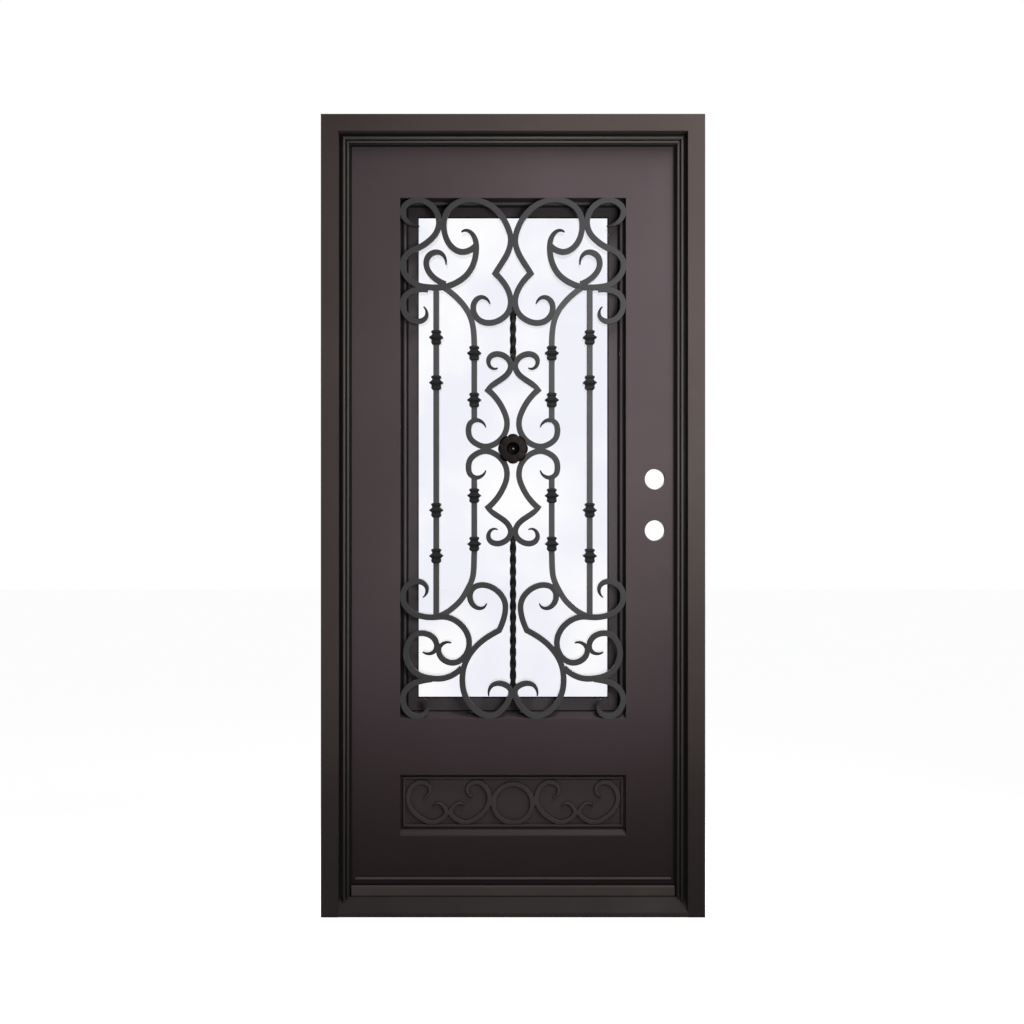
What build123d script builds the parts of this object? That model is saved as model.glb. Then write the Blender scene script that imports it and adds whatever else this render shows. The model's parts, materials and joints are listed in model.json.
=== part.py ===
from build123d import *
import math
import os

os.makedirs("parts", exist_ok=True)

# Single prehung wrought iron entry door, opening inwards, seen from outside at -Y.
# X is to the right from outside, Y goes into the house, Z is up, and the origin is
# at the middle of the frame's underside.

# Frame
frame_width = 990
frame_height = 2070
frame_depth = 102
face_width = 44
nose_depth = 42
jamb_width = 52
frame_wall = 2

# Stops: a pressed moulding with two round beads, welded into the frame's rebate
groove_width = 9.5
flange_thickness = 8
first_bead_width = 7
first_bead_rise = 14
second_bead_width = 6
second_bead_rise = 7
bead_gap = 3
flange_lip = 1.5
seal_width = 14
seal_depth = 7.5
seal_round = 3
seal_reach = 5
seal_gap = 0.5

# Sill
sill_nose = 12
sill_height = 46
sill_run = 34
sill_wall = 3
saddle_height = 29
saddle_depth = 11
saddle_round = 5
saddle_groove = 3

# Leaf
edge_gap = 7.5
leaf_thickness = 50
leaf_back_inset = 2
leaf_foot_gap = 16
skin = 2
tube_wall = 2
opening_width = 588
opening_foot = 506
opening_height = 1356
sweep_width = 14
sweep_gap = 1.5
drip_foot = 88
drip_height = 6.5
drip_reach = 7
drip_round = 3
drip_end_gap = 8

# Surround that the glazed sash closes against
surround_depth = 30
flange_face = 26
flange_reach = 15.5
surround_leg = 10
glass_bead_width = 9
glass_bead_foot = 1.5
ledge_nose = 3
ledge_rise = 16

# Glazed sash
sash_gap = 3
sash_seal = 2
sash_seal_width = 7.5
sash_member = 31
sash_foot_member = 42
sash_lip = 3.5
sash_back_lip = 2.5
sash_rebate = 12
glass_edge_gap = 2
gasket = 1
gasket_show = 2.5
sash_hinge_levels = (750, 1620)
sash_hinge_height = 70
sash_hinge_width = 50
sash_hinge_leaf = 2
sash_knuckle_radius = 4
sash_latch_levels = (820, 1550)
sash_latch_base = 6
sash_latch_inset = 8
sash_latch_radius = 11
sash_latch_lever = 4
sash_latch_width = 14
sash_latch_reach = 8

# Recessed lower panel
panel_foot = 204
panel_height = 156
panel_depth = 20
panel_thickness = 10
panel_slope = 12
panel_bead_inset = 6
panel_bead_width = 7
panel_bead_rise = 8
panel_bead_chamfer = 2
ornament_bar = 13
ornament_thickness = 8
ornament_drop = 4.4
ring_radius = 57
pair_axis = 168

# Lock preparation
lock_bore_radius = 27
lock_bore_x = 370
handle_bore_z = 996
deadbolt_bore_z = 1130
latch_bore_radius = 12.7
lock_box_margin = 60
latch_pocket_height = 57
latch_pocket_depth = 25

# Hinges
hinge_heights = (250, 1040, 1830)
knuckle_radius = 10.5
knuckle_height = 55
knuckle_gap = 0.5
knuckle_cap = 4
pin_radius = 6
pin_clearance = 0.05
pin_head_gap = 0.5
hinge_stand = 12.5
hinge_plate = 5
hinge_plate_reach = 45
hinge_plate_root = 2

# Anchors through the jambs
anchor_radius = 5.5
anchor_foot = 330
anchor_pitch = 480
anchor_count = 4

# Grille of square bar, drawn on a pattern that stretches with the glass opening
pattern_width = 588
pattern_height = 1356
bar_width = 15
tip_width = 3
tip_taper = 70
station_pitch = 24
nudge = 0.5
flat_rise = 0.01
collar_block = 25
collar_flare = 37
collar_block_height = 13
collar_flare_height = 12
collar_chamfer = 3
outer_bar_x = 200
inner_bar_x = 101
outer_collar_levels = (424, 543, 875, 993)
inner_collar_levels = (455, 581, 830, 952)
twisted_bar = 13
twist_pitch = 120
twisted_levels = ((70, 484), (922, 1084))
rosette_level = 703
rosette_radius = 39
rosette_petals = 8
rosette_petal_radius = 10
rosette_plate = 6
rosette_ring_radius = 21
rosette_dish_radius = 15
rosette_rise = 14
rosette_boss_radius = 4

# Places worked out from the sizes above
front = -frame_depth / 2
back = frame_depth / 2
leaf_back = back - leaf_back_inset
leaf_front = leaf_back - leaf_thickness
leaf_middle = (leaf_front + leaf_back) / 2
flange_depth = leaf_front - front - seal_gap - seal_depth
jamb_face = frame_width / 2 - jamb_width
leaf_edge = jamb_face - edge_gap
leaf_foot = sill_height + leaf_foot_gap
leaf_top = frame_height - jamb_width - edge_gap
opening_side = opening_width / 2
opening_top = opening_foot + opening_height
panel_top = panel_foot + panel_height
stop_width = groove_width + first_bead_width + bead_gap + second_bead_width + flange_lip
stop_edge = face_width + stop_width
saddle_side = frame_width / 2 - stop_edge - seal_reach
pocket_side = opening_side - surround_leg
pocket_foot = opening_foot + ledge_rise - surround_leg
pocket_top = opening_top - surround_leg
pivot_x = -jamb_face + edge_gap / 2
pivot_y = back + hinge_stand


def write(piece, name):
    piece.part.label = name
    export_step(piece.part, f"parts/{name}.step")


# Frame members: a section is drawn with its own X running inwards from the frame's
# outer edge and its own Y running back from the frame's face.
left_run = Plane(origin=(-frame_width / 2, front, 0))
head_run = Plane(
    origin=(-frame_width / 2, front, frame_height), x_dir=(0, 0, -1), z_dir=(1, 0, 0)
)
left_mitre = Plane(origin=(-frame_width / 2, 0, frame_height), z_dir=(1, 0, 1))
right_mitre = Plane(origin=(frame_width / 2, 0, frame_height), z_dir=(-1, 0, 1))


def upright(section, side, *cutters):
    """A side member of the frame, mitred at the top; side is -1 left and 1 right."""
    with BuildPart() as member:
        with BuildSketch(left_run):
            add(section)
        extrude(amount=frame_height)
        split(bisect_by=left_mitre, keep=Keep.BOTTOM)
        if side > 0:
            mirror(about=Plane.YZ, mode=Mode.REPLACE)
        add(cutters, mode=Mode.SUBTRACT)
    return member


def head(section):
    """The member over the leaf, mitred at both ends."""
    with BuildPart() as member:
        with BuildSketch(head_run):
            add(section)
        extrude(amount=frame_width)
        split(bisect_by=left_mitre, keep=Keep.TOP)
        split(bisect_by=right_mitre, keep=Keep.TOP)
    return member


# Jambs and head: hollow, narrow in front and wide behind the stops
with BuildSketch() as jamb_section:
    with BuildLine():
        Polyline(
            (0, 0),
            (face_width, 0),
            (face_width, nose_depth),
            (jamb_width, nose_depth),
            (jamb_width, frame_depth),
            (0, frame_depth),
            close=True,
        )
    make_face()
    offset(amount=-frame_wall, kind=Kind.INTERSECTION, mode=Mode.SUBTRACT)

with BuildPart() as anchor_holes:
    with BuildSketch(Plane.YZ):
        for level in range(anchor_count):
            with Locations((leaf_middle, anchor_foot + level * anchor_pitch)):
                Circle(anchor_radius)
    extrude(amount=frame_width, both=True)

with BuildPart() as latch_pockets:
    with Locations(
        (jamb_face, leaf_middle, handle_bore_z), (jamb_face, leaf_middle, deadbolt_bore_z)
    ):
        Box(3 * frame_wall, latch_pocket_depth, latch_pocket_height)

write(upright(jamb_section.sketch, -1, anchor_holes.part), "hinge_jamb")
write(upright(jamb_section.sketch, 1, anchor_holes.part, latch_pockets.part), "strike_jamb")
write(head(jamb_section.sketch), "head_jamb")

# Sill: a hollow ramp between the jambs, level behind the slope
with BuildSketch(Plane.YZ) as sill_section:
    with BuildLine():
        Polyline(
            (front, 0),
            (front, sill_nose),
            (front + sill_run, sill_height),
            (back, sill_height),
            (back, 0),
            close=True,
        )
    make_face()
with BuildPart() as sill_envelope:
    with BuildSketch(Plane.YZ):
        add(sill_section.sketch_local)
    extrude(amount=frame_width, both=True)
with BuildPart() as threshold:
    with BuildSketch(Plane.YZ):
        add(sill_section.sketch_local)
        offset(amount=-sill_wall, kind=Kind.INTERSECTION, mode=Mode.SUBTRACT)
    extrude(amount=frame_width / 2 - face_width, both=True)
    with Locations(
        (-frame_width / 2, front + nose_depth, 0), (frame_width / 2, front + nose_depth, 0)
    ):
        Box(
            2 * jamb_width,
            frame_depth,
            3 * sill_height,
            align=(Align.CENTER, Align.MIN, Align.CENTER),
            mode=Mode.SUBTRACT,
        )
write(threshold, "threshold")

# Saddle on the sill, the stop at the leaf's foot
with BuildPart() as sill_saddle:
    with BuildSketch(Plane.YZ):
        with Locations((front + sill_run, sill_height)):
            Rectangle(saddle_depth, saddle_height, align=(Align.MIN, Align.MIN))
            Rectangle(
                saddle_groove,
                2 * saddle_groove,
                mode=Mode.SUBTRACT,
            )
    extrude(amount=saddle_side, both=True)
    fillet(sill_saddle.edges().filter_by(Axis.X).group_by(Axis.Z)[-1], saddle_round)
write(sill_saddle, "sill_saddle")

# Stops
first = face_width + groove_width
second = first + first_bead_width + bead_gap
stop_floor = flange_depth - flange_thickness
first_crown = stop_floor - first_bead_rise
second_crown = stop_floor - second_bead_rise
with BuildSketch() as stop_section:
    with Locations((face_width, stop_floor)):
        Rectangle(stop_width, flange_thickness, align=(Align.MIN, Align.MIN))
    for bead, width, crown in (
        (first, first_bead_width, first_crown),
        (second, second_bead_width, second_crown),
    ):
        with Locations((bead + width / 2, crown + width / 2)):
            Circle(width / 2)
            Rectangle(width, stop_floor - crown, align=(Align.CENTER, Align.MIN))

write(upright(stop_section.sketch, -1, sill_envelope.part), "hinge_side_stop")
write(upright(stop_section.sketch, 1, sill_envelope.part), "strike_side_stop")
write(head(stop_section.sketch), "head_stop")

# Weatherstrip behind the stops: the leaf closes just short of it
with BuildSketch() as seal_section:
    with Locations((stop_edge + seal_reach, flange_depth)):
        Rectangle(seal_width, seal_depth, align=(Align.MAX, Align.MIN))
    fillet(seal_section.vertices().group_by(Axis.Y)[-1], seal_round)
with BuildPart() as weatherstrip:
    add(upright(seal_section.sketch, -1, sill_envelope.part).part)
    add(upright(seal_section.sketch, 1, sill_envelope.part).part)
    add(head(seal_section.sketch).part)
write(weatherstrip, "weatherstrip")


# Leaf skins: one sheet outside and one inside, cut for glass, panel and locks
def leaf_skin(name, sheet_front, glass_side, glass_foot, glass_top):
    with BuildPart() as sheet:
        with BuildSketch(Plane.XZ.offset(-sheet_front)):
            with Locations((0, (leaf_foot + leaf_top) / 2)):
                Rectangle(2 * leaf_edge, leaf_top - leaf_foot)
            with Locations((0, (glass_foot + glass_top) / 2)):
                Rectangle(2 * glass_side, glass_top - glass_foot, mode=Mode.SUBTRACT)
            with Locations((0, (panel_foot - ledge_nose + panel_top) / 2)):
                Rectangle(opening_width, panel_height + ledge_nose, mode=Mode.SUBTRACT)
            with Locations((lock_bore_x, handle_bore_z), (lock_bore_x, deadbolt_bore_z)):
                Circle(lock_bore_radius, mode=Mode.SUBTRACT)
        extrude(amount=-skin)
    write(sheet, name)


leaf_skin("front_skin", leaf_front, opening_side, opening_foot - ledge_nose, opening_top)
leaf_skin("back_skin", leaf_back - skin, pocket_side, pocket_foot, pocket_top)


# Leaf core between the skins: tubes up the sides and across
def core_tube(name, low, high, foot, top, upright_tube, *gaps):
    with BuildPart() as tube:
        middle = ((low + high) / 2, leaf_middle, (foot + top) / 2)
        depth = leaf_thickness - 2 * skin
        hollow = 0 if upright_tube else 2 * tube_wall
        with Locations(middle):
            Box(high - low, depth, top - foot)
            Box(
                high - low - (2 * tube_wall if upright_tube else 0),
                depth - 2 * tube_wall,
                top - foot - hollow,
                mode=Mode.SUBTRACT,
            )
        for gap_foot, gap_top in gaps:
            with Locations((middle[0], middle[1], (gap_foot + gap_top) / 2)):
                Box(high - low, depth, gap_top - gap_foot, mode=Mode.SUBTRACT)
    write(tube, name)


lock_box_foot = handle_bore_z - lock_box_margin
lock_box_top = deadbolt_bore_z + lock_box_margin
core_tube("hinge_stile", -leaf_edge, -opening_side, leaf_foot, leaf_top, True)
core_tube(
    "lock_stile",
    opening_side,
    leaf_edge,
    leaf_foot,
    leaf_top,
    True,
    (lock_box_foot, lock_box_top),
)
core_tube("top_rail", -opening_side, opening_side, opening_top, leaf_top, False)
core_tube(
    "middle_rail",
    -opening_side,
    opening_side,
    panel_top,
    opening_foot - ledge_nose,
    False,
)
core_tube(
    "bottom_rail",
    -opening_side,
    opening_side,
    leaf_foot,
    panel_foot - ledge_nose,
    False,
)

# Lock box in the lock stile, bored across for the lever and the deadbolt and from
# the leaf's edge for their latches
with BuildPart() as lock_box:
    with Locations(
        ((opening_side + leaf_edge) / 2, leaf_middle, (lock_box_foot + lock_box_top) / 2)
    ):
        Box(
            leaf_edge - opening_side,
            leaf_thickness - 2 * skin,
            lock_box_top - lock_box_foot,
        )
    with BuildSketch(Plane.XZ):
        with Locations((lock_bore_x, handle_bore_z), (lock_bore_x, deadbolt_bore_z)):
            Circle(lock_bore_radius)
    extrude(amount=2 * frame_depth, both=True, mode=Mode.SUBTRACT)
    with BuildSketch(Plane.YZ.offset(lock_bore_x)):
        with Locations((leaf_middle, handle_bore_z), (leaf_middle, deadbolt_bore_z)):
            Circle(latch_bore_radius)
    extrude(amount=frame_width, mode=Mode.SUBTRACT)
write(lock_box, "lock_box")

# Surround of the glass: a ledge that sheds water below, and a beaded flange with a
# leg behind it on the other three sides
with BuildPart() as glass_ledge:
    with BuildSketch(Plane.YZ):
        with BuildLine():
            Polyline(
                (leaf_front, opening_foot - ledge_nose),
                (leaf_front, opening_foot),
                (leaf_front + flange_face, opening_foot + ledge_rise),
                (leaf_front + surround_depth, opening_foot + ledge_rise),
                (leaf_front + surround_depth, pocket_foot),
                (leaf_back - skin, pocket_foot),
                (leaf_back - skin, opening_foot - ledge_nose),
                close=True,
            )
        make_face()
    extrude(amount=opening_side, both=True)
write(glass_ledge, "glass_ledge")

with BuildSketch() as surround_section:
    with BuildLine():
        bead_centre = flange_reach - glass_bead_width / 2
        bead_foot = flange_face - glass_bead_foot
        ThreePointArc(
            (flange_reach, bead_foot),
            (bead_centre, bead_foot - glass_bead_width / 2),
            (flange_reach - glass_bead_width, bead_foot),
        )
        Polyline(
            (flange_reach - glass_bead_width, bead_foot),
            (flange_reach - glass_bead_width, flange_face),
            (0, flange_face),
            (0, leaf_thickness - skin),
            (surround_leg, leaf_thickness - skin),
            (surround_leg, surround_depth),
            (flange_reach, surround_depth),
            (flange_reach, bead_foot),
        )
    make_face()

surround_left = Plane(origin=(-opening_side, leaf_front, opening_foot - ledge_nose))
surround_head = Plane(
    origin=(-opening_side, leaf_front, opening_top), x_dir=(0, 0, -1), z_dir=(1, 0, 0)
)
surround_mitres = [
    Plane(origin=(side * opening_side, 0, opening_top), z_dir=(-side, 0, 1))
    for side in (-1, 1)
]
with BuildPart() as surround_side:
    with BuildSketch(surround_left):
        add(surround_section.sketch)
    extrude(amount=opening_height + ledge_nose)
    split(bisect_by=surround_mitres[0], keep=Keep.BOTTOM)
with BuildPart() as surround_top:
    with BuildSketch(surround_head):
        add(surround_section.sketch)
    extrude(amount=opening_width)
    for mitre in surround_mitres:
        split(bisect_by=mitre, keep=Keep.TOP)
with BuildPart() as glass_surround:
    add(surround_side.part)
    mirror(about=Plane.YZ)
    add(surround_top.part)
    with BuildSketch(Plane.YZ):
        with Locations((leaf_front, pocket_foot)):
            Rectangle(leaf_thickness, opening_height, align=(Align.MIN, Align.MAX))
        with BuildLine():
            Polyline(
                (leaf_front, opening_foot - ledge_nose),
                (leaf_front, opening_foot),
                (leaf_front + flange_face, opening_foot + ledge_rise),
                (leaf_front + surround_depth, opening_foot + ledge_rise),
                (leaf_front + surround_depth, opening_foot - ledge_nose),
                close=True,
            )
        make_face()
    extrude(amount=opening_side, both=True, mode=Mode.SUBTRACT)
write(glass_surround, "glass_surround")

# Sash: two stiles and two rails of grooved bar round the glass
sash_front = surround_depth + sash_seal
sash_side = pocket_side - sash_gap
sash_foot = pocket_foot + sash_gap
sash_top = pocket_top - sash_gap


def sash_section(width):
    """Grooved bar, its own X running in from the sash's edge and its own Y back."""
    groove = leaf_thickness - sash_front - sash_lip - sash_back_lip
    with BuildSketch() as section:
        with Locations((0, sash_front)):
            Rectangle(width, leaf_thickness - sash_front, align=(Align.MIN, Align.MIN))
        with Locations((width, sash_front + sash_lip)):
            Rectangle(sash_rebate, groove, align=(Align.MAX, Align.MIN), mode=Mode.SUBTRACT)
    return section.sketch


rail_length = 2 * (sash_side - sash_member)
with BuildPart() as sash_stiles:
    with BuildSketch(Plane(origin=(-sash_side, leaf_front, sash_foot))):
        add(sash_section(sash_member))
    extrude(amount=sash_top - sash_foot)
    mirror(about=Plane.YZ)
write(sash_stiles, "sash_stiles")

with BuildPart() as sash_rails:
    with BuildSketch(
        Plane(
            origin=(-rail_length / 2, leaf_front, -sash_foot),
            x_dir=(0, 0, -1),
            z_dir=(1, 0, 0),
        )
    ):
        add(sash_section(sash_foot_member))
    extrude(amount=rail_length)
    mirror(about=Plane.XY, mode=Mode.REPLACE)
    with BuildSketch(
        Plane(
            origin=(-rail_length / 2, leaf_front, sash_top),
            x_dir=(0, 0, -1),
            z_dir=(1, 0, 0),
        )
    ):
        add(sash_section(sash_member))
    extrude(amount=rail_length)
write(sash_rails, "sash_rails")


def sheet_ring(outer, inner, depth, thickness):
    """A flat ring or, with no inner edge, a pane; edges are side, foot and top."""
    with BuildPart() as ring:
        with BuildSketch(Plane.XZ.offset(-leaf_front - depth)):
            side, foot, top = outer
            with Locations((0, (foot + top) / 2)):
                Rectangle(2 * side, top - foot)
            if inner:
                side, foot, top = inner
                with Locations((0, (foot + top) / 2)):
                    Rectangle(2 * side, top - foot, mode=Mode.SUBTRACT)
        extrude(amount=-thickness)
    return ring


seal_ring = sheet_ring(
    (sash_side, sash_foot, sash_top),
    (
        sash_side - sash_seal_width,
        sash_foot + sash_seal_width + sash_gap,
        sash_top - sash_seal_width,
    ),
    surround_depth,
    sash_seal,
)
write(seal_ring, "sash_seal")

sight_side = sash_side - sash_member
sight_foot = sash_foot + sash_foot_member
sight_top = sash_top - sash_member
glass_front = sash_front + sash_lip + gasket
glass_back = leaf_thickness - sash_back_lip - gasket
glass_reach = sash_rebate - glass_edge_gap
glass_edges = (
    sight_side + glass_reach,
    sight_foot - glass_reach,
    sight_top + glass_reach,
)
gasket_edges = (
    sight_side - gasket_show,
    sight_foot + gasket_show,
    sight_top - gasket_show,
)
glass = sheet_ring(glass_edges, None, glass_front, glass_back - glass_front)
write(glass, "glass")
with BuildPart() as glazing_gasket:
    add(sheet_ring(glass_edges, gasket_edges, glass_front - gasket, gasket).part)
    add(sheet_ring(glass_edges, gasket_edges, glass_back, gasket).part)
write(glazing_gasket, "glazing_gasket")

# Hardware on the sash's inner face: butt hinges at one side, turn latches at the other
with BuildPart() as sash_hardware:
    for level in sash_hinge_levels:
        with BuildSketch(Plane.XY.offset(level)):
            with Locations((-pocket_side + sash_gap / 2, leaf_back)):
                Rectangle(
                    sash_hinge_width, sash_hinge_leaf, align=(Align.CENTER, Align.MIN)
                )
                with Locations((0, sash_knuckle_radius)):
                    Circle(sash_knuckle_radius)
        extrude(amount=sash_hinge_height)
    pivot = opening_side + sash_latch_inset
    keeper = sash_side - sash_latch_inset
    for level in sash_latch_levels:
        with BuildSketch(Plane.XZ.offset(-leaf_back)):
            with Locations((pivot, level)):
                Circle(sash_latch_radius)
            with Locations((keeper, level)):
                Rectangle(sash_latch_inset, sash_latch_width)
        extrude(amount=-sash_latch_base)
        with BuildSketch(Plane.XZ.offset(-leaf_back - sash_latch_base)):
            with Locations(((pivot + keeper) / 2, level)):
                SlotOverall(pivot - keeper + 2 * sash_latch_reach, sash_latch_width)
        extrude(amount=-sash_latch_lever)
write(sash_hardware, "sash_hardware")

# Lower panel: a sheet in the middle of the leaf, with a sloping ledge below and a
# bead round it on each face
with BuildPart() as lower_panel:
    with Locations(
        (0, leaf_front + panel_depth, (panel_foot - ledge_nose + panel_top) / 2)
    ):
        Box(
            opening_width,
            panel_thickness,
            panel_height + ledge_nose,
            align=(Align.CENTER, Align.MIN, Align.CENTER),
        )
write(lower_panel, "lower_panel")

panel_floor = panel_foot + panel_slope
bead_outer = (
    opening_side - panel_bead_inset,
    panel_floor + panel_bead_inset,
    panel_top - panel_bead_inset,
)
bead_inner = (
    bead_outer[0] - panel_bead_width,
    bead_outer[1] + panel_bead_width,
    bead_outer[2] - panel_bead_width,
)
panel_back = panel_depth + panel_thickness
with BuildPart() as panel_surround:
    add(sheet_ring(bead_outer, bead_inner, panel_depth - panel_bead_rise, panel_bead_rise).part)
    add(sheet_ring(bead_outer, bead_inner, panel_back, panel_bead_rise).part)
    crests = panel_surround.faces().filter_by(Axis.Y).sort_by(Axis.Y)
    chamfer(crests[0].edges() + crests[-1].edges(), panel_bead_chamfer)
    with BuildSketch(Plane.YZ):
        with BuildLine():
            Polyline(
                (leaf_front, panel_foot - ledge_nose),
                (leaf_front, panel_foot),
                (leaf_front + panel_slope, panel_floor),
                (leaf_front + panel_depth, panel_floor),
                (leaf_front + panel_depth, panel_foot - ledge_nose),
                close=True,
            )
        make_face()
        mirror(about=Plane.YZ.offset(leaf_middle))
    extrude(amount=opening_side, both=True)
write(panel_surround, "panel_surround")

# Foot of the leaf: a drip strip outside and a sweep below
with BuildPart() as drip_strip:
    with BuildSketch(Plane.YZ):
        with Locations((leaf_front, drip_foot)):
            Rectangle(drip_reach, drip_height, align=(Align.MAX, Align.MIN))
    extrude(amount=saddle_side - drip_end_gap, both=True)
    fillet(drip_strip.edges().filter_by(Axis.X).group_by(Axis.Y)[0], drip_round)
write(drip_strip, "drip_strip")

with BuildPart() as bottom_sweep:
    with Locations((0, leaf_middle, leaf_foot)):
        Box(
            2 * leaf_edge,
            sweep_width,
            leaf_foot_gap - sweep_gap,
            align=(Align.CENTER, Align.CENTER, Align.MAX),
        )
write(bottom_sweep, "bottom_sweep")


# Hinges: a knuckle and pin on the jamb, and a knuckle on the leaf that turns on it
def knuckle(side, seat_x, seat_y, low, high):
    """A barrel with the plate that joins it to the jamb (-1) or to the leaf (1)."""
    with BuildPart() as piece:
        with BuildSketch(Plane.XY.offset(low)):
            with BuildLine():
                Polyline(
                    (seat_x + side * hinge_plate_reach, seat_y),
                    (seat_x + side * hinge_plate_reach, seat_y + hinge_plate),
                    (pivot_x + side * (knuckle_radius + hinge_plate_root), seat_y + hinge_plate),
                    (pivot_x + side * (knuckle_radius - hinge_plate_root / 2), pivot_y),
                    (pivot_x, pivot_y),
                    (pivot_x, pivot_y - knuckle_radius + hinge_plate_root),
                    (seat_x, seat_y),
                    close=True,
                )
            make_face()
            with Locations((pivot_x, pivot_y)):
                Circle(knuckle_radius)
        extrude(amount=high - low)
    return piece.part


with BuildPart() as frame_hinges:
    for level in hinge_heights:
        foot = level - knuckle_height
        add(knuckle(-1, -jamb_face, back, foot, level - knuckle_gap / 2))
        with BuildSketch(Plane.XY.offset(foot)):
            with Locations((pivot_x, pivot_y)):
                Circle(pin_radius)
        extrude(amount=2 * knuckle_height - knuckle_cap - pin_head_gap)
write(frame_hinges, "frame_hinges")

with BuildPart() as leaf_hinges:
    for level in hinge_heights:
        foot = level + knuckle_gap / 2
        add(knuckle(1, -leaf_edge, leaf_back, foot, level + knuckle_height))
        with BuildSketch(Plane.XY.offset(foot)):
            with Locations((pivot_x, pivot_y)):
                Circle(pin_radius + pin_clearance)
        extrude(
            amount=knuckle_height - knuckle_gap / 2 - knuckle_cap, mode=Mode.SUBTRACT
        )
write(leaf_hinges, "leaf_hinges")

# Grille. Scrolls are drawn on the leaf's face with X from the door's middle and Y up
# from the opening's foot. Each is given by the points its bar's middle passes through.
grille_plane = Plane(
    origin=(0, leaf_front, opening_foot), x_dir=(1, 0, 0), z_dir=(0, -1, 0)
)


def pattern(points):
    return [
        (x * opening_width / pattern_width, z * opening_height / pattern_height)
        for x, z in points
    ]


def smooth_arcs(stations):
    """Tangent arcs through stations, each a place and a heading: two to a span."""
    for (start, out), (end, into) in zip(stations, stations[1:]):
        chord = end - start
        along = chord.dot(out + into)
        spread = 2 * (1 - out.dot(into))
        size = chord.dot(chord)
        reach = size / (along + math.sqrt(along**2 + spread * size))
        joint = (start + end + (out - into) * reach) / 2
        for low, heading in ((start, out), (end, into * -1)):
            if abs(heading.cross(joint - low).Z) < flat_rise:
                Line(low, joint)
            else:
                TangentArc(low, joint, tangent=heading)


def mitred(corner, station, turn):
    """The side's end moved along its heading to the mitre of a corner."""
    place, heading = station
    mitre = turn.rotate(Axis.Z, 90).normalized()
    across = place - corner
    return corner + mitre * (across.dot(across) / across.dot(mitre)), heading


def bent_bar(*strokes, tip_start=False, tip_end=False, width=bar_width):
    """Outline of a bar bent through points; strokes meet in mitred corners.

    A tipped end is drawn out thin.
    """
    spines = []
    for stroke in strokes:
        with BuildLine(mode=Mode.PRIVATE) as line:
            Spline(*stroke)
        spines.append(line.wire())
    length = sum(spine.length for spine in spines)

    def side_place(spine, along, travelled, side):
        shares = [1]
        if tip_start:
            shares.append((travelled + along) / tip_taper)
        if tip_end:
            shares.append((length - travelled - along) / tip_taper)
        taper = math.sin(min(shares) * math.pi / 2)
        half = (tip_width + (width - tip_width) * taper) / 2
        heading = spine % (along / spine.length)
        across = heading.rotate(Axis.Z, 90) * side
        return spine @ (along / spine.length) + across * half

    edges = []
    for side in (1, -1):
        travelled = 0
        for index, spine in enumerate(spines):
            steps = math.ceil(spine.length / station_pitch)
            stations = []
            for step in range(steps + 1):
                along = spine.length * step / steps
                before = side_place(spine, max(0, along - nudge), travelled, side)
                after = side_place(spine, min(spine.length, along + nudge), travelled, side)
                place = side_place(spine, along, travelled, side)
                stations.append((place, (after - before).normalized()))
            if index > 0:
                turn = spines[index - 1] % 1 + spine % 0
                stations[:1] = [mitred(spine @ 0, stations[0], turn)]
            if index < len(spines) - 1:
                turn = spine % 1 + spines[index + 1] % 0
                stations[-1:] = [mitred(spine @ 1, stations[-1], turn)]
            edges.append(stations)
            travelled += spine.length
    with BuildSketch(mode=Mode.PRIVATE) as outline:
        with BuildLine():
            for stations in edges:
                smooth_arcs(stations)
            middle = len(spines)
            Line(edges[0][0][0], edges[middle][0][0])
            Line(edges[middle - 1][-1][0], edges[-1][-1][0])
        make_face()
    return outline.sketch


def coped(face, *seats):
    """The bar's outline, cut back where it meets bars already in place."""
    with BuildSketch(mode=Mode.PRIVATE) as cut:
        add(face)
        for seat in seats:
            add(seat, mode=Mode.SUBTRACT)
    largest = cut.sketch.faces().sort_by(SortBy.AREA)[-1]
    with BuildSketch(mode=Mode.PRIVATE) as opening:
        add(largest)
        with Locations((0, opening_height / 2)):
            Rectangle(opening_width, opening_height, mode=Mode.INTERSECT)
    return opening.sketch


def both_sides(face):
    with BuildSketch(mode=Mode.PRIVATE) as pair:
        add(face)
        mirror(about=Plane.YZ)
    return pair.sketch


def united(*faces):
    with BuildSketch(mode=Mode.PRIVATE) as union:
        for face in faces:
            add(face)
    return union.sketch


def straight_bar(middle, foot, top):
    with BuildSketch(mode=Mode.PRIVATE) as bar:
        (x, low), (_, high) = pattern([(middle, foot), (middle, top)])
        with Locations((x, (low + high) / 2)):
            Rectangle(bar_width, high - low)
    return bar.sketch


def grille_piece(name, face):
    with BuildPart() as piece:
        with BuildSketch(grille_plane):
            add(face)
        extrude(amount=-bar_width)
        add(glass_ledge.part, mode=Mode.SUBTRACT)
    write(piece, name)


def cutter(face):
    """The bars' outline run through, to cut a piece that crosses them."""
    with BuildPart() as through:
        with BuildSketch(grille_plane):
            add(face)
        extrude(amount=2 * bar_width, both=True)
    return through.part


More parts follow.
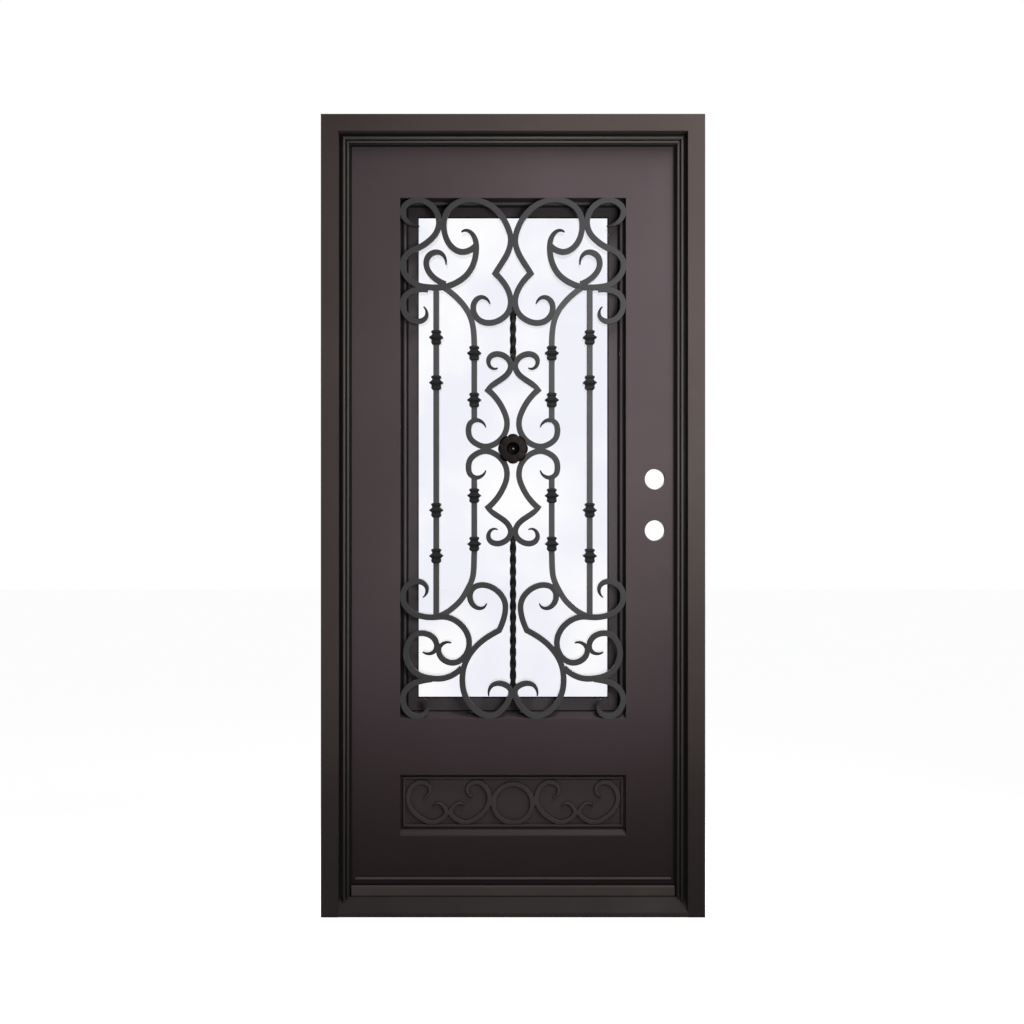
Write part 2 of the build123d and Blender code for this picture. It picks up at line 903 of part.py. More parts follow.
corner_scroll = coped(
    bent_bar(
        pattern(
            [
                (244, 1283), (265, 1288), (283, 1304), (287, 1325), (275, 1342),
                (244, 1350), (216, 1339), (198, 1316), (193, 1291), (200, 1266),
                (216, 1247), (242, 1229), (269, 1215), (285, 1196), (287, 1173),
                (275, 1149), (252, 1131), (218, 1124), (179, 1125), (146, 1137),
                (118, 1159), (102, 1188), (96, 1220), (98, 1247), (109, 1266),
                (122, 1273), (134, 1268),
            ]
        ),
        tip_start=True,
        tip_end=True,
    )
)
branch_scroll = coped(
    bent_bar(
        pattern(
            [
                (175, 1183), (177, 1200), (188, 1213), (203, 1215), (220, 1205),
                (226, 1184), (219, 1164), (201, 1145), (176, 1132),
            ]
        ),
        tip_start=True,
    ),
    corner_scroll,
)
side_curl = coped(
    bent_bar(
        pattern(
            [
                (233, 1073), (225, 1060), (227, 1045), (240, 1036), (260, 1037),
                (278, 1051), (287, 1075), (281, 1100), (263, 1113), (241, 1119),
                (221, 1118),
            ]
        ),
        tip_start=True,
    ),
    corner_scroll,
)
top_heart = coped(
    both_sides(
        bent_bar(
            pattern(
                [
                    (96, 1234), (112, 1221), (133, 1216), (155, 1225), (172, 1247),
                    (180, 1277), (176, 1311), (156, 1337), (126, 1350), (94, 1350),
                    (60, 1337), (32, 1312), (14, 1281), (6, 1248), (12, 1218),
                    (27, 1190), (46, 1160),
                ]
            ),
            pattern(
                [
                    (46, 1160), (26, 1138), (11, 1112), (6, 1084), (14, 1057),
                    (34, 1039), (62, 1031), (87, 1038), (101, 1056), (103, 1077),
                    (94, 1093), (78, 1098), (67, 1092), (60, 1081),
                ]
            ),
            tip_end=True,
        )
    ),
    both_sides(corner_scroll),
)
centre_heart = both_sides(
    bent_bar(
        pattern(
            [
                (40, 914), (53, 912), (62, 921), (64, 934), (57, 945), (43, 950),
                (27, 947), (13, 937), (6, 922), (13, 900), (31, 884), (65, 856),
            ]
        ),
        pattern(
            [
                (65, 856), (41, 831), (25, 804), (16, 776), (18, 752), (30, 730),
                (49, 715), (73, 709), (95, 716), (112, 732), (116, 752), (111, 770),
                (96, 778), (82, 774), (71, 759),
            ]
        ),
        tip_start=True,
        tip_end=True,
    )
)
rosette_z = rosette_level * opening_height / pattern_height
centre_hearts = united(
    centre_heart, mirror(centre_heart, about=Plane.XZ.offset(-rosette_z))
)
upper_inner_bar = coped(
    united(
        bent_bar(
            pattern(
                [
                    (179, 1123), (151, 1101), (131, 1080), (114, 1054), (106, 1030),
                    (102, 1001), (101, 972),
                ]
            )
        ),
        straight_bar(inner_bar_x, 775, 973),
    ),
    corner_scroll,
    top_heart,
    centre_hearts,
)
side_scroll = coped(
    bent_bar(
        pattern(
            [
                (235, 316), (225, 329), (226, 345), (240, 356), (259, 356),
                (278, 344), (287, 323), (283, 299), (265, 278), (239, 267),
                (208, 264), (177, 265), (151, 256), (129, 237), (116, 211),
                (116, 183), (129, 159), (151, 146), (173, 149), (190, 164),
                (193, 182), (183, 195), (161, 197),
            ]
        ),
        tip_start=True,
        tip_end=True,
    )
)
lower_inner_bar = coped(
    united(
        straight_bar(inner_bar_x, 433, 632),
        bent_bar(
            pattern(
                [
                    (101, 434), (102, 398), (107, 362), (119, 336), (135, 310),
                    (156, 289), (179, 273), (205, 265),
                ]
            )
        ),
    ),
    side_scroll,
    centre_hearts,
)
bottom_heart = coped(
    both_sides(
        bent_bar(
            pattern(
                [
                    (69, 300), (79, 288), (94, 289), (109, 304), (112, 324),
                    (101, 342), (77, 348), (53, 341), (34, 326), (22, 306),
                    (20, 282), (36, 230),
                ]
            ),
            pattern(
                [
                    (36, 230), (64, 214), (90, 194), (112, 168), (127, 137),
                    (132, 103), (127, 66), (109, 34), (82, 12), (56, 7), (29, 23),
                    (10, 51), (6, 75), (20, 88), (38, 92), (54, 87), (62, 75),
                    (63, 59),
                ]
            ),
            tip_start=True,
            tip_end=True,
        )
    ),
    both_sides(side_scroll),
    both_sides(lower_inner_bar),
)
outer_scroll = coped(
    bent_bar(
        pattern(
            [
                (235, 174), (220, 169), (204, 176), (199, 193), (210, 213),
                (231, 222), (254, 219), (270, 202), (278, 180), (277, 155),
                (265, 131), (243, 113), (213, 105), (182, 105), (155, 115),
                (133, 133),
            ]
        ),
        tip_start=True,
    ),
    side_scroll,
    bottom_heart,
)
bottom_curl = coped(
    bent_bar(
        pattern(
            [
                (231, 51), (222, 35), (225, 19), (240, 8), (260, 8), (279, 24),
                (287, 48), (281, 72), (265, 88), (239, 98), (211, 103),
            ]
        ),
        tip_start=True,
    ),
    outer_scroll,
)
outer_bar = coped(
    straight_bar(outer_bar_x, 266, 1124), corner_scroll, side_curl, side_scroll
)

grille_piece("corner_scrolls", both_sides(corner_scroll))
grille_piece("branch_scrolls", both_sides(branch_scroll))
grille_piece("side_curls", both_sides(side_curl))
grille_piece("top_heart", top_heart)
grille_piece("centre_hearts", centre_hearts)
grille_piece("side_scrolls", both_sides(side_scroll))
grille_piece("bottom_heart", bottom_heart)
grille_piece("outer_scrolls", both_sides(outer_scroll))
grille_piece("bottom_curls", both_sides(bottom_curl))
upright_bars = both_sides(united(outer_bar, upper_inner_bar, lower_inner_bar))
grille_piece("upright_bars", upright_bars)

# Collars: cast knuckles with a flared waist, threaded on the upright bars
with BuildPart() as collar:
    with BuildSketch():
        Rectangle(collar_flare, collar_flare)
    extrude(
        amount=collar_flare_height / 2,
        taper=math.degrees(math.atan2(collar_flare - collar_block, collar_flare_height)),
    )
    with BuildSketch(Plane.XY.offset(collar_flare_height / 2)):
        Rectangle(collar_block, collar_block)
    extrude(amount=collar_block_height)
    chamfer(collar.faces().sort_by(Axis.Z)[-1].edges(), collar_chamfer)
    mirror(about=Plane.XY)
grille_middle = leaf_front + bar_width / 2
collar_places = [
    (
        side * x * opening_width / pattern_width,
        grille_middle,
        opening_foot + level * opening_height / pattern_height,
    )
    for side in (-1, 1)
    for x, levels in (
        (outer_bar_x, outer_collar_levels),
        (inner_bar_x, inner_collar_levels),
    )
    for level in levels
]
with BuildPart() as bar_collars:
    with Locations(collar_places):
        add(collar.part)
    with BuildSketch(grille_plane):
        add(upright_bars)
    extrude(amount=-bar_width, mode=Mode.SUBTRACT)
write(bar_collars, "bar_collars")

# Twisted bars up the middle, cut to the hearts they run between
with BuildSketch() as twisted_square:
    Rectangle(twisted_bar, twisted_bar)
with BuildPart() as twisted_bars:
    for foot, top in twisted_levels:
        low = opening_foot + foot * opening_height / pattern_height
        length = (top - foot) * opening_height / pattern_height
        twist = Solid.extrude_linear_with_rotation(
            twisted_square.face(), (0, 0, 0), (0, 0, length), 360 * length / twist_pitch
        )
        with Locations((0, grille_middle, low)):
            add(twist)
    for heart in (top_heart, centre_hearts, bottom_heart):
        add(cutter(heart), mode=Mode.SUBTRACT)
write(twisted_bars, "twisted_bars")

# Rosette: a petalled plate with a raised ring and a dished middle
with BuildPart() as rosette:
    rosette_plane = Plane(
        origin=(0, leaf_front, opening_foot + rosette_z), z_dir=(0, -1, 0)
    )
    with BuildSketch(rosette_plane):
        Circle(rosette_radius - rosette_petal_radius)
        with PolarLocations(rosette_radius - rosette_petal_radius, rosette_petals):
            Circle(rosette_petal_radius)
    extrude(amount=rosette_plate)
    with BuildSketch(rosette_plane.offset(rosette_plate)):
        Circle(rosette_ring_radius)
    extrude(amount=rosette_rise - rosette_plate)
    with BuildSketch(rosette_plane.offset(rosette_plate)):
        Circle(rosette_dish_radius)
        Circle(rosette_boss_radius, mode=Mode.SUBTRACT)
    extrude(amount=rosette_rise, mode=Mode.SUBTRACT)
write(rosette, "rosette")

# Ornament lying on the lower panel: a ring between two pairs of scrolls
half_pair = bent_bar(
    [
        (232, 13), (219, 22), (217, 37), (227, 48), (244, 51), (262, 41),
        (272, 24), (274, 4), (267, -16), (254, -32), (236, -45), (213, -54),
        (191, -47), (173.5, -29), (182, -11), (196, -3), (209, -11),
    ],
    tip_start=True,
    tip_end=True,
    width=ornament_bar,
)
with BuildPart() as panel_ornament:
    with BuildSketch(
        Plane(
            origin=(0, leaf_front + panel_depth, (panel_floor + panel_top) / 2),
            x_dir=(1, 0, 0),
            z_dir=(0, -1, 0),
        )
    ):
        add(half_pair)
        mirror(half_pair, about=Plane.YZ.offset(pair_axis))
        mirror(about=Plane.YZ)
        with Locations((0, -ornament_drop)):
            Circle(ring_radius)
            Circle(ring_radius - ornament_bar, mode=Mode.SUBTRACT)
        inner_height = bead_inner[2] - bead_inner[1]
        Rectangle(2 * bead_inner[0], inner_height, mode=Mode.INTERSECT)
    extrude(amount=ornament_thickness)
write(panel_ornament, "panel_ornament")
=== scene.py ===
import json
import math

import bmesh
import bpy
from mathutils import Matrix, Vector
from mathutils.bvhtree import BVHTree

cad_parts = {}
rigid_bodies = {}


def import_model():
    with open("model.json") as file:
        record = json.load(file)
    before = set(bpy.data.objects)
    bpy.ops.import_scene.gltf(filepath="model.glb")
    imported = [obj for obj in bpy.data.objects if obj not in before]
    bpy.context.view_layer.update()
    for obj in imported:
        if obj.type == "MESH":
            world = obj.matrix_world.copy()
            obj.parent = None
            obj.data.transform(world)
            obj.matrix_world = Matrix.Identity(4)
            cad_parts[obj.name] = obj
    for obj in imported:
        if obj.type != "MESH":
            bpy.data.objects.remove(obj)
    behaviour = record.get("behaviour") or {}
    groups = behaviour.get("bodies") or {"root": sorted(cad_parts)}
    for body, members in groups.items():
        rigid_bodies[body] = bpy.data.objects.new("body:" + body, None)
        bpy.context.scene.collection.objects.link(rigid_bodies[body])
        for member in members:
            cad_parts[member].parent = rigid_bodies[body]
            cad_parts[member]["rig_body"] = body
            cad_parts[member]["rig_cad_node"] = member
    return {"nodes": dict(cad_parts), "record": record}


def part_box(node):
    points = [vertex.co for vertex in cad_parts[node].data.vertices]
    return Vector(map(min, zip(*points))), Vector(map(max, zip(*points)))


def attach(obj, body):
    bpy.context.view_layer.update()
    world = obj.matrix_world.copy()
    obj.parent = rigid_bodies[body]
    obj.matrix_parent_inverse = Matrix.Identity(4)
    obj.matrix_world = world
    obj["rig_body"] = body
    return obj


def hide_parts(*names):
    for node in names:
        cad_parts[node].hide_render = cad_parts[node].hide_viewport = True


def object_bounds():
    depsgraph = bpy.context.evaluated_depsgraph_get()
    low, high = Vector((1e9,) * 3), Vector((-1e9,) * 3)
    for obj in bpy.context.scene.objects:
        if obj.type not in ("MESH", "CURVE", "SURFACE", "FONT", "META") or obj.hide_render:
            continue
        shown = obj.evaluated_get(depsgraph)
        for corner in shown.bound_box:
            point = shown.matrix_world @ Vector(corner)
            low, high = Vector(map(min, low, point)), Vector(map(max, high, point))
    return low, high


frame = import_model()
cad_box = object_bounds()
body_of = {node: piece["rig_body"] for node, piece in frame["nodes"].items()}
slot_of = {part["node"]: part["material_slot"] for part in frame["record"]["subparts"]}
mm = 0.001

# The stand: a pale floor under a white backdrop, two soft lamps at the right, one near
# and one high, a third behind, and a level camera before the middle of the door.
camera_distance = 4.70
camera_height = 1.0444
camera_side = -0.0026
seen_width = 2.637
frame_face = cad_box[0].y
stage = bpy.context.scene
stage.view_settings.view_transform = "Standard"

bpy.ops.object.camera_add(
    location=(camera_side, frame_face - camera_distance, camera_height),
    rotation=(math.radians(90), 0, 0),
)
camera = bpy.context.object
camera.data.lens = camera.data.sensor_width * camera_distance / seen_width
camera.data.clip_end = 60
stage.camera = camera


def soft_lamp(name, place, target, size, power, spread):
    bpy.ops.object.light_add(type="AREA", location=place)
    lamp = bpy.context.object
    lamp.name = name
    lamp.data.size = size
    lamp.data.energy = power
    lamp.data.spread = math.radians(spread)
    lamp.rotation_euler = (Vector(target) - Vector(place)).to_track_quat("-Z", "Y").to_euler()


soft_lamp("near_lamp", (0.95, -1.7, 1.4), (0.1, 0, 1.4), 0.9, 9.6, 100)
soft_lamp("high_lamp", (0.9, -0.9, 2.9), (0.1, 0, 1.1), 0.7, 7.2, 80)
soft_lamp("rear_lamp", (-2.8, 2.4, 2.4), (0, 0, 1.0), 1.0, 30, 60)


def backdrop_share(nodes, links):
    """1 where the backdrop is looked at, also by way of metal or glass."""
    path = nodes.new("ShaderNodeLightPath")
    first = nodes.new("ShaderNodeMath")
    first.operation = "MAXIMUM"
    second = nodes.new("ShaderNodeMath")
    second.operation = "MAXIMUM"
    links.new(path.outputs["Is Camera Ray"], first.inputs[0])
    links.new(path.outputs["Is Glossy Ray"], first.inputs[1])
    links.new(first.outputs[0], second.inputs[0])
    links.new(path.outputs["Is Transmission Ray"], second.inputs[1])
    return second.outputs[0]


room_light = (0.045, 0.045, 0.048, 1)
world = bpy.data.worlds.new("studio")
stage.world = world
world.use_nodes = True
sky = world.node_tree
tone = sky.nodes.new("ShaderNodeMix")
tone.data_type = "RGBA"
tone.inputs["A"].default_value = room_light
tone.inputs["B"].default_value = (1, 1, 1, 1)
sky.links.new(backdrop_share(sky.nodes, sky.links), tone.inputs["Factor"])
sky.links.new(tone.outputs["Result"], sky.nodes["Background"].inputs["Color"])

floor_glow = 0.95
bpy.ops.mesh.primitive_plane_add(size=40, location=(0, 0, -0.2 * mm))
floor = bpy.context.object
floor.name = "floor"
pale = bpy.data.materials.new("pale_floor")
pale.use_nodes = True
tree = pale.node_tree
surface = tree.nodes["Principled BSDF"]
surface.inputs["Base Color"].default_value = (0.62, 0.62, 0.62, 1)
surface.inputs["Roughness"].default_value = 0.9
surface.inputs["Specular IOR Level"].default_value = 0
surface.inputs["Emission Color"].default_value = (floor_glow, floor_glow, floor_glow, 1)
tree.links.new(backdrop_share(tree.nodes, tree.links), surface.inputs["Emission Strength"])
floor.data.materials.append(pale)


# The frame: two jambs and a head of folded sheet, mitred and welded, over a hollow sill
# ramp with a round-topped saddle, all sprayed dark bronze. The free arrises of the sheet
# are eased, and the welded ones are not.
arris = 0.9 * mm
ramp_arris = 1.5 * mm
saddle_round = 7 * mm
saddle_shadow_core = 1 * mm
saddle_shadow_reach = 6 * mm
sharp_angle = math.radians(32)
flat_angle = math.radians(0.2)
merge_distance = 0.01 * mm
weld_reach = 0.15 * mm
corner_clearance = 3.2  # in radii of the rounding
facing = 0.9  # least share of a normal that points front or back


def touching(node):
    """The surfaces of the other pieces on the same body, to find welds with."""
    corners = []
    faces = []
    for other, piece in frame["nodes"].items():
        if other == node or body_of[other] != body_of[node]:
            continue
        first = len(corners)
        corners.extend(vertex.co.copy() for vertex in piece.data.vertices)
        faces.extend([first + i for i in face.vertices] for face in piece.data.polygons)
    return BVHTree.FromPolygons(corners, faces)


def alone(piece):
    bpy.ops.object.select_all(action="DESELECT")
    bpy.context.view_layer.objects.active = piece
    piece.select_set(True)


def finish(piece, material, body, slot, *replaced, smooth=sharp_angle):
    """Shades a piece, gives it its material and seats it on its body."""
    piece.data.materials.clear()
    piece.data.materials.append(material)
    alone(piece)
    bpy.ops.object.shade_smooth_by_angle(angle=smooth)
    bpy.ops.object.modifier_add(type="WEIGHTED_NORMAL")
    piece.modifiers[-1].keep_sharp = True
    bpy.ops.object.modifier_apply(modifier=piece.modifiers[-1].name)
    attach(piece, body)
    if replaced:
        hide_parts(*replaced)


def eased(node, material, radius=arris, segments=2, bar=False):
    """A copy of a piece of the frame or leaf with its free arrises rounded.

    A bent bar is rounded along its front and back only, at an even width, and left as it
    is in the narrow corners where two bars meet.
    """
    piece = frame["nodes"][node].copy()
    piece.data = piece.data.copy()
    piece.name = f"{node}_finished"
    del piece["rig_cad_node"]
    piece.parent = None
    stage.collection.objects.link(piece)
    welds = touching(node)
    alone(piece)
    bpy.ops.object.mode_set(mode="EDIT")
    bpy.ops.mesh.select_mode(type="EDGE")
    bpy.ops.mesh.select_all(action="SELECT")
    bpy.ops.mesh.remove_doubles(threshold=merge_distance)
    if not bar:
        bpy.ops.mesh.dissolve_limited(angle_limit=flat_angle)
    bpy.ops.mesh.select_all(action="DESELECT")
    shape = bmesh.from_edit_mesh(piece.data)
    sharp = [
        edge for edge in shape.edges if edge.is_manifold and edge.calc_face_angle(0) > sharp_angle
    ]
    corners = []
    if bar:
        corners = [
            (edge.verts[0].co + edge.verts[1].co) / 2
            for edge in sharp
            if edge.calc_face_angle_signed(0) < 0
        ]
        sharp = [
            edge for edge in sharp if max(abs(face.normal.y) for face in edge.link_faces) > facing
        ]
    for edge in sharp:
        middle = (edge.verts[0].co + edge.verts[1].co) / 2
        close = any(
            math.hypot(middle.x - corner.x, middle.z - corner.z) < corner_clearance * radius
            for corner in corners
        )
        if not close and welds.find_nearest(middle, weld_reach)[0] is None:
            edge.select_set(True)
    bmesh.update_edit_mesh(piece.data)
    bpy.ops.mesh.bevel(
        offset=radius, offset_type="OFFSET", segments=segments, affect="EDGES",
        clamp_overlap=not bar,
    )
    bpy.ops.object.mode_set(mode="OBJECT")
    finish(piece, material, body_of[node], slot_of[node], node)
    return piece


def sprayed_paint_and_painted_light():
    """Sprayed enamel: cloudy colour over a fine orange peel, turned towards a foot colour near
    the floor as painted light and shade.
    """
    group = bpy.data.node_groups.new("sprayed_enamel_and_painted_light", "ShaderNodeTree")
    sockets = group.interface
    sockets.new_socket("Colour", in_out="INPUT", socket_type="NodeSocketColor")
    sockets.new_socket("Foot Colour", in_out="INPUT", socket_type="NodeSocketColor")
    sockets.new_socket("Cloud", in_out="INPUT", socket_type="NodeSocketFloat")
    sockets.new_socket("Base Roughness", in_out="INPUT", socket_type="NodeSocketFloat")
    sockets.new_socket("Colour", in_out="OUTPUT", socket_type="NodeSocketColor")
    sockets.new_socket("Roughness", in_out="OUTPUT", socket_type="NodeSocketFloat")
    sockets.new_socket("Peel", in_out="OUTPUT", socket_type="NodeSocketFloat")
    nodes = group.nodes
    links = group.links
    given = nodes.new("NodeGroupInput")
    result = nodes.new("NodeGroupOutput")
    place = nodes.new("ShaderNodeTexCoord")

    height = nodes.new("ShaderNodeSeparateXYZ")
    links.new(place.outputs["Object"], height.inputs[0])
    fall = nodes.new("ShaderNodeMapRange")
    fall.interpolation_type = "SMOOTHSTEP"
    fall.inputs["From Min"].default_value = 0.0
    fall.inputs["From Max"].default_value = 0.8
    links.new(height.outputs["Z"], fall.inputs["Value"])
    ground = nodes.new("ShaderNodeMix")
    ground.data_type = "RGBA"
    links.new(fall.outputs["Result"], ground.inputs["Factor"])
    links.new(given.outputs["Foot Colour"], ground.inputs["A"])
    links.new(given.outputs["Colour"], ground.inputs["B"])

    cloud = nodes.new("ShaderNodeTexNoise")
    cloud.inputs["Scale"].default_value = 2.3
    cloud.inputs["Detail"].default_value = 5
    cloud.inputs["Roughness"].default_value = 0.55
    links.new(place.outputs["Object"], cloud.inputs["Vector"])
    cloud_value = nodes.new("ShaderNodeMapRange")
    cloud_value.inputs["From Min"].default_value = 0.3
    cloud_value.inputs["From Max"].default_value = 0.7
    cloud_value.inputs["To Min"].default_value = -1
    cloud_value.inputs["To Max"].default_value = 1
    links.new(cloud.outputs["Fac"], cloud_value.inputs["Value"])
    gain = nodes.new("ShaderNodeMath")
    gain.operation = "MULTIPLY_ADD"
    gain.inputs[2].default_value = 1
    links.new(cloud_value.outputs["Result"], gain.inputs[0])
    links.new(given.outputs["Cloud"], gain.inputs[1])
    tinted = nodes.new("ShaderNodeVectorMath")
    tinted.operation = "SCALE"
    links.new(ground.outputs["Result"], tinted.inputs[0])
    links.new(gain.outputs[0], tinted.inputs["Scale"])
    links.new(tinted.outputs[0], result.inputs["Colour"])

    haze = nodes.new("ShaderNodeTexNoise")
    haze.inputs["Scale"].default_value = 14
    haze.inputs["Detail"].default_value = 6
    links.new(place.outputs["Object"], haze.inputs["Vector"])
    sheen = nodes.new("ShaderNodeMapRange")
    sheen.inputs["From Min"].default_value = 0.3
    sheen.inputs["From Max"].default_value = 0.7
    sheen.inputs["To Min"].default_value = -0.05
    sheen.inputs["To Max"].default_value = 0.05
    links.new(haze.outputs["Fac"], sheen.inputs["Value"])
    rough = nodes.new("ShaderNodeMath")
    links.new(sheen.outputs["Result"], rough.inputs[0])
    links.new(given.outputs["Base Roughness"], rough.inputs[1])
    links.new(rough.outputs[0], result.inputs["Roughness"])

    peel = nodes.new("ShaderNodeTexNoise")
    peel.inputs["Scale"].default_value = 380
    peel.inputs["Detail"].default_value = 2
    links.new(place.outputs["Object"], peel.inputs["Vector"])
    links.new(peel.outputs["Fac"], result.inputs["Peel"])
    return group


enamel_group = sprayed_paint_and_painted_light()


def enamel(name, colour, foot_colour, cloud, roughness, specular, peel_depth):
    """A material of sprayed enamel over sheet or bar; its foot colour is painted light and shade.
    """
    material = bpy.data.materials.new(name)
    material.use_nodes = True
    nodes = material.node_tree.nodes
    links = material.node_tree.links
    surface = nodes["Principled BSDF"]
    coat = nodes.new("ShaderNodeGroup")
    coat.node_tree = enamel_group
    coat.name = "enamel"
    coat.inputs["Colour"].default_value = (*colour, 1)
    coat.inputs["Foot Colour"].default_value = (*foot_colour, 1)
    coat.inputs["Cloud"].default_value = cloud
    coat.inputs["Base Roughness"].default_value = roughness
    surface.inputs["Specular IOR Level"].default_value = specular
    links.new(coat.outputs["Colour"], surface.inputs["Base Color"])
    links.new(coat.outputs["Roughness"], surface.inputs["Roughness"])
    bump = nodes.new("ShaderNodeBump")
    bump.name = "relief"
    bump.inputs["Distance"].default_value = peel_depth
    bump.inputs["Strength"].default_value = 0.5
    links.new(coat.outputs["Peel"], bump.inputs["Height"])
    links.new(bump.outputs["Normal"], surface.inputs["Normal"])
    return material


# The frame's foot colour is painted shade: darker towards the floor.
frame_paint = enamel(
    "frame_bronze", (0.070, 0.055, 0.051), (0.028, 0.022, 0.021), 0.12, 0.46, 0.08, 0.05 * mm
)
for node in ("hinge_jamb", "strike_jamb", "head_jamb"):
    eased(node, frame_paint)
sill_paint = enamel(
    "sill_bronze", (0.050, 0.043, 0.040), (0.035, 0.029, 0.027), 0.22, 0.50, 0.10, 0.08 * mm
)
# Painted highlight: the saddle is painted lighter than the ramp, without the darker foot.
saddle_paint = enamel(
    "saddle_painted_light", (0.080, 0.068, 0.063), (0.078, 0.064, 0.060), 0.18, 0.42, 0.10, 0.05 * mm
)
eased("threshold", sill_paint, radius=ramp_arris, segments=3)


def groove_shade():
    """Painted shade in a groove or recess: a colour scaled down, the nearer a level is to its
    floor.
    """
    group = bpy.data.node_groups.new("groove_shade", "ShaderNodeTree")
    group.interface.new_socket("Colour", in_out="INPUT", socket_type="NodeSocketColor")
    for name in ("Level", "Floor", "Dark To", "Clear From", "Shade"):
        group.interface.new_socket(name, in_out="INPUT", socket_type="NodeSocketFloat")
    group.interface.new_socket("Colour", in_out="OUTPUT", socket_type="NodeSocketColor")
    nodes = group.nodes
    links = group.links
    given = nodes.new("NodeGroupInput")
    result = nodes.new("NodeGroupOutput")
    offset = nodes.new("ShaderNodeMath")
    offset.operation = "SUBTRACT"
    links.new(given.outputs["Level"], offset.inputs[0])
    links.new(given.outputs["Floor"], offset.inputs[1])
    distance = nodes.new("ShaderNodeMath")
    distance.operation = "ABSOLUTE"
    links.new(offset.outputs[0], distance.inputs[0])
    tone = nodes.new("ShaderNodeMapRange")
    tone.interpolation_type = "SMOOTHSTEP"
    tone.inputs["To Max"].default_value = 1
    links.new(distance.outputs[0], tone.inputs["Value"])
    links.new(given.outputs["Dark To"], tone.inputs["From Min"])
    links.new(given.outputs["Clear From"], tone.inputs["From Max"])
    links.new(given.outputs["Shade"], tone.inputs["To Min"])
    darker = nodes.new("ShaderNodeVectorMath")
    darker.operation = "SCALE"
    links.new(given.outputs["Colour"], darker.inputs[0])
    links.new(tone.outputs["Result"], darker.inputs["Scale"])
    links.new(darker.outputs[0], result.inputs["Colour"])
    return group


groove_group = groove_shade()


def painted_shade_band(material, axis, floor, dark_to, clear_from, shade):
    """Paints shade into an enamel: darker around one level on an axis, in a moulding's grooves or
    under a head.
    """
    nodes = material.node_tree.nodes
    links = material.node_tree.links
    place = nodes.new("ShaderNodeTexCoord")
    level = nodes.new("ShaderNodeSeparateXYZ")
    links.new(place.outputs["Object"], level.inputs[0])
    groove = nodes.new("ShaderNodeGroup")
    groove.node_tree = groove_group
    groove.inputs["Floor"].default_value = floor
    groove.inputs["Dark To"].default_value = dark_to
    groove.inputs["Clear From"].default_value = clear_from
    groove.inputs["Shade"].default_value = shade
    links.new(level.outputs[axis], groove.inputs["Level"])
    links.new(nodes["enamel"].outputs["Colour"], groove.inputs["Colour"])
    links.new(groove.outputs["Colour"], nodes["Principled BSDF"].inputs["Base Color"])


# Painted shadow: the saddle is darkened at its foot, where it meets the ramp.
saddle_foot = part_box("sill_saddle")[0].z
painted_shade_band(saddle_paint, "Z", saddle_foot, saddle_shadow_core, saddle_shadow_reach, 0.25)
eased("sill_saddle", saddle_paint, radius=saddle_round, segments=6)

# The stops: a pressed moulding with two round beads, mitred and welded in the rebate,
# and the black seal strip that the leaf closes on. The grooves carry painted shade, and
# the head's beads are painted lighter, a painted highlight.
stop_arris = 0.4 * mm
seal_arris = 0.4 * mm
bead_rise = 14 * mm
groove_dark = 0.5 * mm
groove_reach = 5 * mm
stop_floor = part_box("head_stop")[0].y + bead_rise
stop_paint = enamel(
    "stop_bronze", (0.084, 0.071, 0.068), (0.028, 0.023, 0.022), 0.10, 0.36, 0.10, 0.03 * mm
)
head_stop_lit_paint = enamel(
    "head_stop_painted_light", (0.125, 0.112, 0.108), (0.10, 0.09, 0.09), 0.10, 0.36, 0.12, 0.03 * mm
)
for paint in (stop_paint, head_stop_lit_paint):
    painted_shade_band(paint, "Y", stop_floor, groove_dark, groove_reach, 0.04)
eased("hinge_side_stop", stop_paint, radius=stop_arris)
eased("strike_side_stop", stop_paint, radius=stop_arris)
eased("head_stop", head_stop_lit_paint, radius=stop_arris)


def rubber(name, colour):
    """Extruded seal: black, dull, with faint lines from the die."""
    material = bpy.data.materials.new(name)
    material.use_nodes = True
    nodes = material.node_tree.nodes
    links = material.node_tree.links
    surface = nodes["Principled BSDF"]
    surface.inputs["Specular IOR Level"].default_value = 0.08
    place = nodes.new("ShaderNodeTexCoord")
    dust = nodes.new("ShaderNodeTexNoise")
    dust.inputs["Scale"].default_value = 60
    dust.inputs["Detail"].default_value = 6
    links.new(place.outputs["Object"], dust.inputs["Vector"])
    shade = nodes.new("ShaderNodeMix")
    shade.data_type = "RGBA"
    shade.inputs["A"].default_value = (*colour, 1)
    shade.inputs["B"].default_value = (*(1.8 * c for c in colour), 1)
    links.new(dust.outputs["Fac"], shade.inputs["Factor"])
    links.new(shade.outputs["Result"], surface.inputs["Base Color"])
    dull = nodes.new("ShaderNodeMapRange")
    dull.inputs["To Min"].default_value = 0.55
    dull.inputs["To Max"].default_value = 0.8
    links.new(dust.outputs["Fac"], dull.inputs["Value"])
    links.new(dull.outputs["Result"], surface.inputs["Roughness"])
    bump = nodes.new("ShaderNodeBump")
    bump.inputs["Distance"].default_value = 0.05 * mm
    links.new(dust.outputs["Fac"], bump.inputs["Height"])
    links.new(bump.outputs["Normal"], surface.inputs["Normal"])
    return material


seal_rubber = rubber("seal_rubber", (0.005, 0.005, 0.005))
eased("weatherstrip", seal_rubber, radius=seal_arris)

